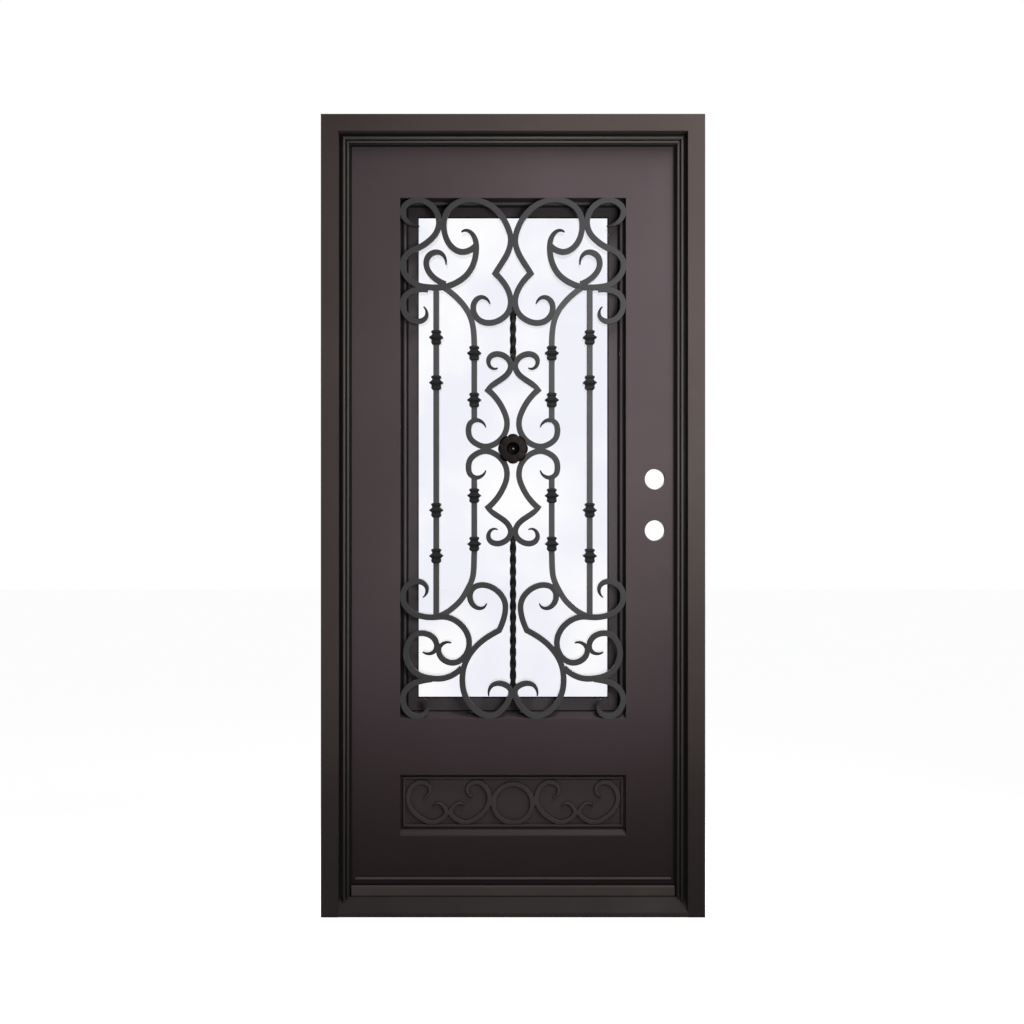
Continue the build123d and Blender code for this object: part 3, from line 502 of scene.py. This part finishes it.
# The leaf: two flat sheets over a welded frame of tube, with a solid box of bare steel for
# the lock, sprayed in the same bronze as the frame but a little redder. A drip strip is
# welded across its foot, and a rubber sweep is fixed below.
skin_arris = 0.5 * mm
lock_arris = 0.4 * mm
drip_round = 1.2 * mm
sweep_arris = 0.5 * mm
# The leaf's foot colour is painted shade: darker towards the floor.
leaf_paint = enamel(
    "leaf_bronze", (0.080, 0.061, 0.065), (0.021, 0.013, 0.014), 0.10, 0.48, 0.08, 0.05 * mm
)
for node in (
    "front_skin", "back_skin", "hinge_stile", "lock_stile", "top_rail", "middle_rail",
    "bottom_rail",
):
    eased(node, leaf_paint, radius=skin_arris)
bare_steel = enamel(
    "mill_scale", (0.012, 0.010, 0.010), (0.010, 0.008, 0.008), 0.25, 0.55, 0.3, 0.2 * mm
)
eased("lock_box", bare_steel, radius=lock_arris)
# Painted highlight: the drip strip is not darkened at the foot like the leaf, so it shows light.
drip_paint = enamel(
    "drip_painted_light", (0.085, 0.071, 0.067), (0.085, 0.070, 0.067), 0.14, 0.40, 0.12, 0.03 * mm
)
eased("drip_strip", drip_paint, radius=drip_round, segments=3)
eased("bottom_sweep", seal_rubber, radius=sweep_arris)

# The surround of the glass: a sloped ledge below and a beaded flange on three sides,
# welded into the opening and sprayed with the leaf.
flange_depth = 26 * mm
flange_shade = 4 * mm
leaf_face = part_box("front_skin")[0].y
flange_face = leaf_face + flange_depth
surround_paint = enamel(
    "surround_bronze", (0.074, 0.063, 0.065), (0.030, 0.024, 0.024), 0.10, 0.42, 0.10, 0.04 * mm
)
# Painted shade: the surround is darkened at the depth of its flange face, by the bead.
painted_shade_band(surround_paint, "Y", flange_face, groove_dark, flange_shade, 0.10)
eased("glass_ledge", leaf_paint, radius=skin_arris)
eased("glass_surround", surround_paint, radius=skin_arris)

# The glazed sash: welded bar with a rebate, on two hinges and two turn latches, so that
# the glass can be cleaned. It shuts on a black seal. Its head is darker with a painted
# shadow, the shade cast by the head of the opening.
sash_arris = 0.6 * mm
fitting_arris = 0.4 * mm
gasket_arris = 0.3 * mm
head_shade = 15 * mm
head_shade_reach = 185 * mm
sash_paint = enamel(
    "sash_bronze", (0.080, 0.068, 0.072), (0.074, 0.066, 0.068), 0.10, 0.48, 0.06, 0.05 * mm
)
sash_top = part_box("sash_stiles")[1].z
painted_shade_band(sash_paint, "Z", sash_top - head_shade, 0, head_shade_reach, 0.45)
eased("sash_stiles", sash_paint, radius=sash_arris)
eased("sash_rails", sash_paint, radius=sash_arris)
eased("sash_hardware", leaf_paint, radius=fitting_arris)
for node in ("sash_seal", "glazing_gasket"):
    eased(node, seal_rubber, radius=gasket_arris)

# The double glazing: two clear panes sealed on a dark spacer all round, slightly wavy,
# with a faint cool cast in places. It stands in the sash's rebate, in the gasket.
pane = 3 * mm
pane_arris = 0.4 * mm
spacer_width = 8 * mm
spacer_inset = 1 * mm
glass_low, glass_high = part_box("glass")
glass_size = glass_high - glass_low
glass_middle = (glass_low + glass_high) / 2
panes = []
for depth in (glass_low.y + pane / 2, glass_high.y - pane / 2):
    bpy.ops.object.select_all(action="DESELECT")
    bpy.ops.mesh.primitive_cube_add(size=1, location=(glass_middle.x, depth, glass_middle.z))
    sheet = bpy.context.object
    sheet.scale = (glass_size.x, pane, glass_size.z)
    bpy.ops.object.transform_apply(location=True, rotation=True, scale=True)
    bpy.ops.object.mode_set(mode="EDIT")
    bpy.ops.mesh.select_all(action="SELECT")
    bpy.ops.mesh.bevel(offset=pane_arris, segments=2, affect="EDGES")
    bpy.ops.object.mode_set(mode="OBJECT")
    panes.append(sheet)
alone(panes[0])
panes[1].select_set(True)
bpy.ops.object.join()
glazing = bpy.context.object
glazing.name = "glass_panes"

clear = bpy.data.materials.new("clear_glass")
clear.use_nodes = True
nodes = clear.node_tree.nodes
links = clear.node_tree.links
surface = nodes["Principled BSDF"]
surface.inputs["Transmission Weight"].default_value = 1
surface.inputs["Metallic"].default_value = 0
surface.inputs["Roughness"].default_value = 0.0
surface.inputs["IOR"].default_value = 1.5
place = nodes.new("ShaderNodeTexCoord")
haze = nodes.new("ShaderNodeTexNoise")
haze.inputs["Scale"].default_value = 3.2
haze.inputs["Detail"].default_value = 3
links.new(place.outputs["Object"], haze.inputs["Vector"])
cast = nodes.new("ShaderNodeValToRGB")
cast.color_ramp.elements[0].position = 0.42
cast.color_ramp.elements[0].color = (0.93, 0.935, 0.975, 1)
cast.color_ramp.elements[1].position = 0.62
cast.color_ramp.elements[1].color = (0.995, 0.995, 1.0, 1)
links.new(haze.outputs["Fac"], cast.inputs["Fac"])
links.new(cast.outputs["Color"], surface.inputs["Base Color"])
wave = nodes.new("ShaderNodeTexNoise")
wave.inputs["Scale"].default_value = 9
wave.inputs["Detail"].default_value = 1
links.new(place.outputs["Object"], wave.inputs["Vector"])
bump = nodes.new("ShaderNodeBump")
bump.inputs["Distance"].default_value = 0.6 * mm
bump.inputs["Strength"].default_value = 0.4
links.new(wave.outputs["Fac"], bump.inputs["Height"])
links.new(bump.outputs["Normal"], surface.inputs["Normal"])
finish(glazing, clear, "leaf", "clear_glass", "glass")

bpy.ops.object.select_all(action="DESELECT")
bpy.ops.mesh.primitive_cube_add(size=1, location=glass_middle)
spacer = bpy.context.object
spacer.name = "glazing_spacer"
spacer.scale = (
    glass_size.x - 2 * spacer_inset, glass_size.y - 2 * pane, glass_size.z - 2 * spacer_inset
)
bpy.ops.object.transform_apply(location=True, rotation=True, scale=True)
bpy.ops.object.mode_set(mode="EDIT")
bpy.ops.mesh.select_mode(type="FACE")
bpy.ops.mesh.select_all(action="DESELECT")
shape = bmesh.from_edit_mesh(spacer.data)
for face in shape.faces:
    face.select_set(abs(face.normal.y) > 0.5)
bmesh.update_edit_mesh(spacer.data)
bpy.ops.mesh.inset(thickness=spacer_width)
bpy.ops.mesh.bridge_edge_loops()
bpy.ops.object.mode_set(mode="OBJECT")
finish(spacer, seal_rubber, "leaf", "black_rubber")

# The lower panel: a flat sheet set back in its own opening, with a bead round it on each
# face and a sloped ledge below, all welded in and sprayed with the leaf.
panel_depth = 25 * mm
bead_foot = 6 * mm
bead_crest = 11 * mm
panel_paint = enamel(
    "panel_bronze", (0.084, 0.065, 0.068), (0.034, 0.024, 0.025), 0.14, 0.44, 0.12, 0.05 * mm
)
eased("lower_panel", panel_paint, radius=skin_arris)
panel_middle = leaf_face + panel_depth
panel_bead_paint = enamel(
    "panel_bead_bronze", (0.092, 0.074, 0.077), (0.042, 0.031, 0.032), 0.12, 0.42, 0.10, 0.04 * mm
)
# Painted shade: the bead is darkened at its foot, towards the panel sheet.
painted_shade_band(panel_bead_paint, "Y", panel_middle, bead_foot, bead_crest, 0.05)
eased("panel_surround", panel_bead_paint, radius=skin_arris)

# The hinges: three pairs of turned knuckles on plates, welded to the jamb and the leaf.
# The lower knuckle of each pair holds the pin, and the upper one turns on it.
knuckle_arris = 0.7 * mm
for node in ("frame_hinges", "leaf_hinges"):
    eased(node, leaf_paint, radius=knuckle_arris)

# The grille: hot-forged square bar, its ends drawn out fine and curled, welded and
# dressed at each meeting, then painted. The tips are painted darker and the upright
# bars a little lighter; both paints are graded by height as painted light and shade.
grille_foot = 506 * mm
bar_arris = 1 * mm
tip_spread = 44 * mm
tips = (
    (244, 1283), (134, 1268), (175, 1183), (233, 1073), (60, 1081), (40, 914), (71, 759),
    (40, 492), (71, 647), (235, 316), (161, 197), (69, 300), (63, 59), (235, 174), (231, 51),
)
tip_places = [
    Vector((side * x * mm, 0, grille_foot + z * mm)) for x, z in tips for side in (-1, 1)
]


def forged(name, colour, foot_colour, darkened_colour, specular):
    """Enamel over forged bar: hammer marks under the paint, and a second colour mixed in by a
    point attribute: darker tips on the bars, painted shade in the rosette's dish and rim.
    """
    material = enamel(name, colour, foot_colour, 0.10, 0.44, specular, 0.06 * mm)
    nodes = material.node_tree.nodes
    links = material.node_tree.links
    coat = nodes["enamel"]
    surface = nodes["Principled BSDF"]
    darkening = nodes.new("ShaderNodeAttribute")
    darkening.attribute_name = "dark_tips_and_painted_shade"
    shade = nodes.new("ShaderNodeMix")
    shade.data_type = "RGBA"
    shade.inputs["B"].default_value = (*darkened_colour, 1)
    links.new(darkening.outputs["Fac"], shade.inputs["Factor"])
    links.new(coat.outputs["Colour"], shade.inputs["A"])
    links.new(shade.outputs["Result"], surface.inputs["Base Color"])
    place = nodes.new("ShaderNodeTexCoord")
    hammer = nodes.new("ShaderNodeTexVoronoi")
    hammer.feature = "SMOOTH_F1"
    hammer.inputs["Scale"].default_value = 95
    hammer.inputs["Smoothness"].default_value = 0.9
    links.new(place.outputs["Object"], hammer.inputs["Vector"])
    marks = nodes.new("ShaderNodeBump")
    marks.inputs["Distance"].default_value = 0.5 * mm
    marks.inputs["Strength"].default_value = 0.35
    links.new(hammer.outputs["Distance"], marks.inputs["Height"])
    links.new(nodes["relief"].outputs["Normal"], marks.inputs["Normal"])
    links.new(marks.outputs["Normal"], surface.inputs["Normal"])
    return material


bar_paint = forged(
    "forged_bar", (0.049, 0.048, 0.050), (0.098, 0.094, 0.094), (0.012, 0.011, 0.011), 0.14
)
upright_paint = forged(
    "forged_upright", (0.069, 0.068, 0.070), (0.054, 0.051, 0.051), (0.012, 0.011, 0.011), 0.15
)


def mark_tips(piece):
    darkening = piece.data.attributes.new("dark_tips_and_painted_shade", "FLOAT", "POINT")
    for vertex, value in zip(piece.data.vertices, darkening.data):
        near = min(
            math.hypot(vertex.co.x - tip.x, vertex.co.z - tip.z) for tip in tip_places
        )
        share = max(0, 1 - near / tip_spread)
        value.value = share * share * (3 - 2 * share)


for node in (
    "corner_scrolls", "branch_scrolls", "side_curls", "top_heart", "centre_hearts",
    "side_scrolls", "bottom_heart", "outer_scrolls", "bottom_curls",
):
    mark_tips(eased(node, bar_paint, radius=bar_arris, bar=True))
mark_tips(eased("upright_bars", upright_paint, radius=bar_arris, bar=True))

# Twisted bars: two lengths of square bar with eased corners, twisted cold, welded between
# the hearts and left nearly black.
twist_pitch = 120 * mm
twisted_side = 13 * mm
twisted_arris = 1.4 * mm
twist_step = 2.5 * mm
twisted_black = (0.007, 0.006, 0.006)
twisted_paint = forged("twisted_bar", twisted_black, twisted_black, twisted_black, 0.08)
heights = [vertex.co.z for vertex in frame["nodes"]["twisted_bars"].data.vertices]
twist_low, twist_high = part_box("twisted_bars")
split = (twist_low.z + twist_high.z) / 2
spans = (
    (min(heights), max(z for z in heights if z < split)),
    (min(z for z in heights if z > split), max(heights)),
)
twists = []
for low, high in spans:
    length = high - low
    bpy.ops.object.select_all(action="DESELECT")
    bpy.ops.mesh.primitive_cube_add(size=1)
    bar = bpy.context.object
    bar.scale = (twisted_side, twisted_side, length)
    bpy.ops.object.transform_apply(location=False, rotation=False, scale=True)
    bpy.ops.object.mode_set(mode="EDIT")
    bpy.ops.mesh.select_mode(type="EDGE")
    bpy.ops.mesh.select_all(action="DESELECT")
    shape = bmesh.from_edit_mesh(bar.data)
    for edge in shape.edges:
        edge.select_set(abs(edge.verts[0].co.z - edge.verts[1].co.z) > length / 2)
    bmesh.update_edit_mesh(bar.data)
    bpy.ops.mesh.bevel(offset=twisted_arris, segments=3, affect="EDGES")
    cuts = round(length / twist_step)
    for step in range(1, cuts):
        bpy.ops.mesh.select_all(action="SELECT")
        bpy.ops.mesh.bisect(
            plane_co=(0, 0, length * (step / cuts - 0.5)), plane_no=(0, 0, 1)
        )
    bpy.ops.object.mode_set(mode="OBJECT")
    twist = bar.modifiers.new("twist", "SIMPLE_DEFORM")
    twist.deform_method = "TWIST"
    twist.deform_axis = "Z"
    twist.angle = 2 * math.pi * length / twist_pitch
    bpy.ops.object.modifier_apply(modifier=twist.name)
    bar.location = (twist_low + twist_high) / 2
    bar.location.z = (low + high) / 2
    bpy.ops.object.transform_apply(location=True, rotation=True, scale=True)
    twists.append(bar)
alone(twists[0])
twists[1].select_set(True)
bpy.ops.object.join()
twisted = bpy.context.object
twisted.name = "twisted_bars_finished"
finish(
    twisted, twisted_paint, "leaf", slot_of["twisted_bars"], "twisted_bars",
    smooth=math.radians(40),
)

# Collars: cast in one piece and threaded on the bars, with rounded shoulders above, a
# pointed waist and a stepped foot, painted darker than the bars.
collar_profile = (
    (-19.0, 8.6), (-17.4, 10.4), (-15.4, 12.3), (-14.0, 12.8), (-9.4, 12.8), (-8.2, 12.2),
    (-6.4, 11.7), (-3.8, 14.3), (-0.9, 18.0), (0.0, 18.5), (0.9, 18.0), (3.8, 14.3),
    (6.6, 11.2), (8.8, 10.3), (10.6, 10.6), (12.6, 12.6), (14.4, 13.1), (16.2, 12.8),
    (17.8, 11.4), (19.0, 8.6),
)
collar_round = 1.6 * mm
collar_black = (0.017, 0.017, 0.017)
collar_paint = forged("cast_collar", collar_black, collar_black, (0.012, 0.011, 0.010), 0.12)
collar_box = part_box("bar_collars")
collar_depth = (collar_box[0].y + collar_box[1].y) / 2
bpy.ops.object.select_all(action="DESELECT")
bpy.ops.mesh.primitive_plane_add(size=2 * collar_profile[0][1] * mm)
collar = bpy.context.object
bpy.ops.object.mode_set(mode="EDIT")
bpy.ops.mesh.bevel(offset=collar_round, segments=3, affect="VERTICES")
bpy.ops.transform.translate(value=(0, 0, collar_profile[0][0] * mm))
for (low, width), (high, next_width) in zip(collar_profile, collar_profile[1:]):
    bpy.ops.mesh.extrude_region_move(TRANSFORM_OT_translate={"value": (0, 0, (high - low) * mm)})
    scale = next_width / width
    bpy.ops.transform.resize(value=(scale, scale, 1), center_override=(0, 0, high * mm))
bpy.ops.mesh.select_all(action="SELECT")
bpy.ops.mesh.normals_make_consistent(inside=False)
bpy.ops.object.mode_set(mode="OBJECT")
outer_bar_x = 200 * mm
inner_bar_x = 101 * mm
collar_places = [
    (side * x, grille_foot + level * mm)
    for side in (-1, 1)
    for x, levels in ((outer_bar_x, (424, 543, 875, 993)), (inner_bar_x, (455, 581, 830, 952)))
    for level in levels
]
collars = []
for x, z in collar_places:
    copy = collar.copy()
    copy.data = collar.data.copy()
    stage.collection.objects.link(copy)
    copy.location = (x, collar_depth, z)
    collars.append(copy)
bpy.data.objects.remove(collar)
alone(collars[0])
for copy in collars:
    copy.select_set(True)
bpy.ops.object.join()
bpy.ops.object.transform_apply(location=True, rotation=True, scale=True)
collars = bpy.context.object
collars.name = "bar_collars_finished"
finish(
    collars, collar_paint, "leaf", slot_of["bar_collars"], "bar_collars",
    smooth=math.radians(25),
)

# The rosette: a casting of eight domed petals with a rolled ring, a deep dish and a
# small boss, fixed where the four scrolls meet.
rosette_profile = (
    (39.0, 0.2), (39.0, 5.2), (38.2, 6.6), (36.4, 7.6), (32.0, 8.9), (27.0, 9.9), (22.0, 10.7),
    (18.4, 11.2), (17.0, 10.8), (16.0, 9.6), (15.2, 7.0), (13.6, 3.6), (10.4, 1.6), (5.0, 0.8),
    (2.0, 0.6),
)
petal_count = 8
petal_root = 17.0 * mm
petal_notch = 0.10
petal_fullness = 0.6
petal_crease = 1.4 * mm
crease_fullness = 0.5
crease_rate = 2.5
dish_radius = 16.5 * mm
rim_shade = 35.5 * mm
rivet_radius = 3.2 * mm
rivet_rise = 2.4 * mm
rivet_stretch = 1.5
rivet_seat = 0.3 * mm
rosette_low, rosette_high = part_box("rosette")
centre = (rosette_low + rosette_high) / 2
casting_brown = (0.020, 0.015, 0.015)
cast_iron = forged("cast_rosette", casting_brown, casting_brown, (0.002, 0.001, 0.001), 0.03)
bpy.ops.object.select_all(action="DESELECT")
bpy.ops.mesh.primitive_circle_add(
    vertices=160, radius=rosette_profile[0][0] * mm, fill_type="NGON",
    location=(centre.x, rosette_high.y - rosette_profile[0][1] * mm, centre.z),
    rotation=(math.radians(90), 0, 0),
)
rosette = bpy.context.object
rosette.name = "rosette_finished"
bpy.ops.object.transform_apply(location=True, rotation=True, scale=True)
bpy.ops.object.mode_set(mode="EDIT")
bpy.ops.mesh.select_all(action="SELECT")
for (radius, rise), (next_radius, next_rise) in zip(rosette_profile, rosette_profile[1:]):
    bpy.ops.mesh.extrude_region_move(
        TRANSFORM_OT_translate={"value": (0, (rise - next_rise) * mm, 0)}
    )
    scale = next_radius / radius
    bpy.ops.transform.resize(
        value=(scale, 1, scale),
        center_override=(centre.x, rosette_high.y - next_rise * mm, centre.z),
    )
shape = bmesh.from_edit_mesh(rosette.data)
for vertex in shape.verts:
    across = vertex.co.x - centre.x
    up = vertex.co.z - centre.z
    radius = math.hypot(across, up)
    if radius <= petal_root:
        continue
    lobe = abs(math.cos(petal_count / 2 * math.atan2(up, across)))
    share = min(1, (radius - petal_root) / (rosette_profile[0][0] * mm - petal_root))
    pull = 1 - petal_notch * share * (1 - lobe ** petal_fullness)
    vertex.co.x = centre.x + across * pull
    vertex.co.z = centre.z + up * pull
    sink = petal_crease * (1 - lobe ** crease_fullness) * min(1, crease_rate * share)
    vertex.co.y = min(rosette_high.y, vertex.co.y + sink)
bmesh.update_edit_mesh(rosette.data)
bpy.ops.mesh.select_all(action="SELECT")
bpy.ops.mesh.normals_make_consistent(inside=False)
bpy.ops.object.mode_set(mode="OBJECT")
# Painted shade: the dish and the outer rim are painted near black.
darkening = rosette.data.attributes.new("dark_tips_and_painted_shade", "FLOAT", "POINT")
for vertex, value in zip(rosette.data.vertices, darkening.data):
    radius = math.hypot(vertex.co.x - centre.x, vertex.co.z - centre.z)
    value.value = 1 if radius < dish_radius or radius > rim_shade else 0
finish(rosette, cast_iron, "leaf", slot_of["rosette"], "rosette", smooth=math.radians(50))

bpy.ops.object.select_all(action="DESELECT")
bpy.ops.mesh.primitive_uv_sphere_add(
    segments=24, ring_count=12, radius=rivet_radius,
    location=(centre.x, rosette_high.y - rivet_rise, centre.z), rotation=(math.radians(90), 0, 0),
)
rivet = bpy.context.object
rivet.name = "rosette_rivet"
bpy.ops.object.transform_apply(location=True, rotation=True, scale=True)
bpy.ops.object.mode_set(mode="EDIT")
bpy.ops.mesh.select_all(action="SELECT")
bpy.ops.transform.resize(
    value=(1, rivet_stretch, 1),
    center_override=(centre.x, rosette_high.y - rivet_rise, centre.z),
)
bpy.ops.mesh.select_all(action="DESELECT")
shape = bmesh.from_edit_mesh(rivet.data)
for vertex in shape.verts:
    vertex.co.y = min(vertex.co.y, rosette_high.y - rivet_seat)
bmesh.update_edit_mesh(rivet.data)
bpy.ops.object.mode_set(mode="OBJECT")
# The rivet head is painted a pale grey.
rivet_grey = (0.20, 0.19, 0.18)
rivet_paint = forged("rivet_head", rivet_grey, rivet_grey, (0.05, 0.05, 0.05), 0.5)
finish(rivet, rivet_paint, "leaf", slot_of["rosette"], smooth=math.radians(50))

# The ornament of the lower panel: flat bar scrolls and a ring, rounded at the front,
# welded to the sheet and painted with it.
ornament_round = 2.4 * mm
flank = 10.4 * mm
crown = 12.6 * mm
ornament_paint = forged(
    "panel_scrolls", (0.088, 0.071, 0.071), (0.034, 0.025, 0.024), (0.020, 0.018, 0.017), 0.14
)
# Painted shade: the flanks of the scrolls are darkened towards the sheet.
painted_shade_band(ornament_paint, "Y", panel_middle, flank, crown, 0.08)
eased("panel_ornament", ornament_paint, radius=ornament_round, segments=3, bar=True)
